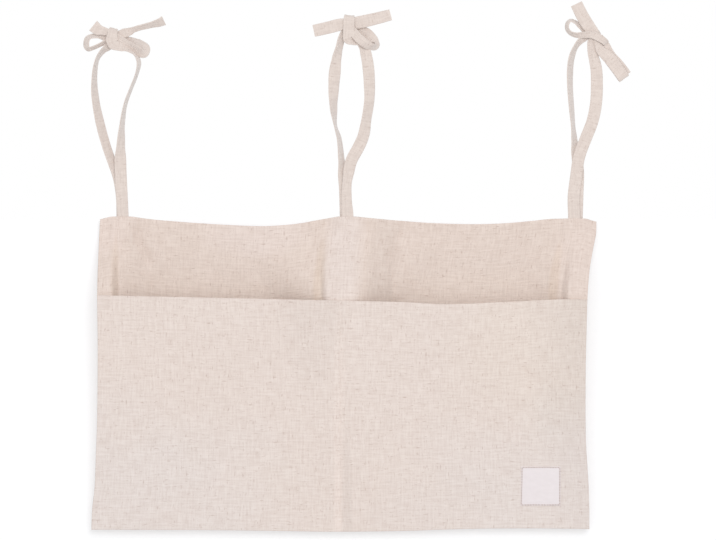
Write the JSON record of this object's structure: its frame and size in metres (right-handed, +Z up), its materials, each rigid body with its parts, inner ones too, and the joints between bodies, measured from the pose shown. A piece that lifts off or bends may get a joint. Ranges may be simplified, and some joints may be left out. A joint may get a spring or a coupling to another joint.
{
  "type": "hanging playpen organizer",
  "caption": "Hanging fabric organizer: open pockets sewn to a lined back panel, with tape ties tied in bows along its top edge and a small plain label.",
  "frame": {"origin": "the place where the middle tie's loop hangs on its rail, under the arch of the loop", "axes": "+X to the right as seen from the front, +Y to the back, +Z up"},
  "size_m": [0.547, 0.037, 0.5302],
  "materials": {
    "linen": "plain woven linen, pinkish beige with darker flecks",
    "tape": "folded tape of the same linen",
    "label": "smooth woven label cloth, near white, bare",
    "thread": "beige sewing thread"
  },
  "bodies": {
    "tie_centre": {"tie_centre_rear_tape": "tape", "tie_centre_front_tape": "tape"},
    "panel": {"back_panel_face": "linen", "back_panel_lining": "linen", "pocket_sewn_edge_left": "linen", "pocket_sewn_edge_right": "linen", "pocket_sewn_edge_middle": "linen", "pocket_sewn_edge_bottom": "linen", "middle_seam_thread": "thread", "tie_left_sewn_end": "tape", "tie_centre_sewn_end": "tape", "tie_right_sewn_end": "tape"},
    "tie_left": {"tie_left_rear_tape": "tape", "tie_left_front_tape": "tape"},
    "tie_right": {"tie_right_rear_tape": "tape", "tie_right_front_tape": "tape"},
    "pocket_left": {"pocket_front_left_face": "linen", "pocket_front_left_lining": "linen"},
    "pocket_right": {"pocket_front_right_face": "linen", "pocket_front_right_lining": "linen", "label": "label", "label_thread": "thread"}
  },
  "joints": [
    {"name": "panel_swing", "type": "hinge", "parent": "tie_centre", "child": "panel", "pos_m": [0, -0.00105, -0.17235], "axis": [1, 0, 0], "range_deg": [-90, 90]},
    {"name": "tie_left_fold", "type": "hinge", "parent": "panel", "child": "tie_left", "pos_m": [-0.2245, -0.00105, -0.17235], "axis": [1, 0, 0], "range_deg": [-90, 90]},
    {"name": "tie_right_fold", "type": "hinge", "parent": "panel", "child": "tie_right", "pos_m": [0.228, -0.00105, -0.17435], "axis": [1, 0, 0], "range_deg": [-90, 90]},
    {"name": "pocket_left_open", "type": "hinge", "parent": "panel", "child": "pocket_left", "pos_m": [-0.13, -0.00341, -0.48], "axis": [1, 0, 0], "range_deg": [0, 13], "stiffness_Nm_per_rad": 0.3, "springref_deg": -1.43},
    {"name": "pocket_right_open", "type": "hinge", "parent": "panel", "child": "pocket_right", "pos_m": [0.115, -0.00341, -0.48], "axis": [1, 0, 0], "range_deg": [0, 13], "stiffness_Nm_per_rad": 0.3, "springref_deg": -1.43}
  ],
  "couplings": [
    {"joint": "tie_left_fold", "follows": "panel_swing", "ratio": -1},
    {"joint": "tie_right_fold", "follows": "panel_swing", "ratio": -1}
  ]
}
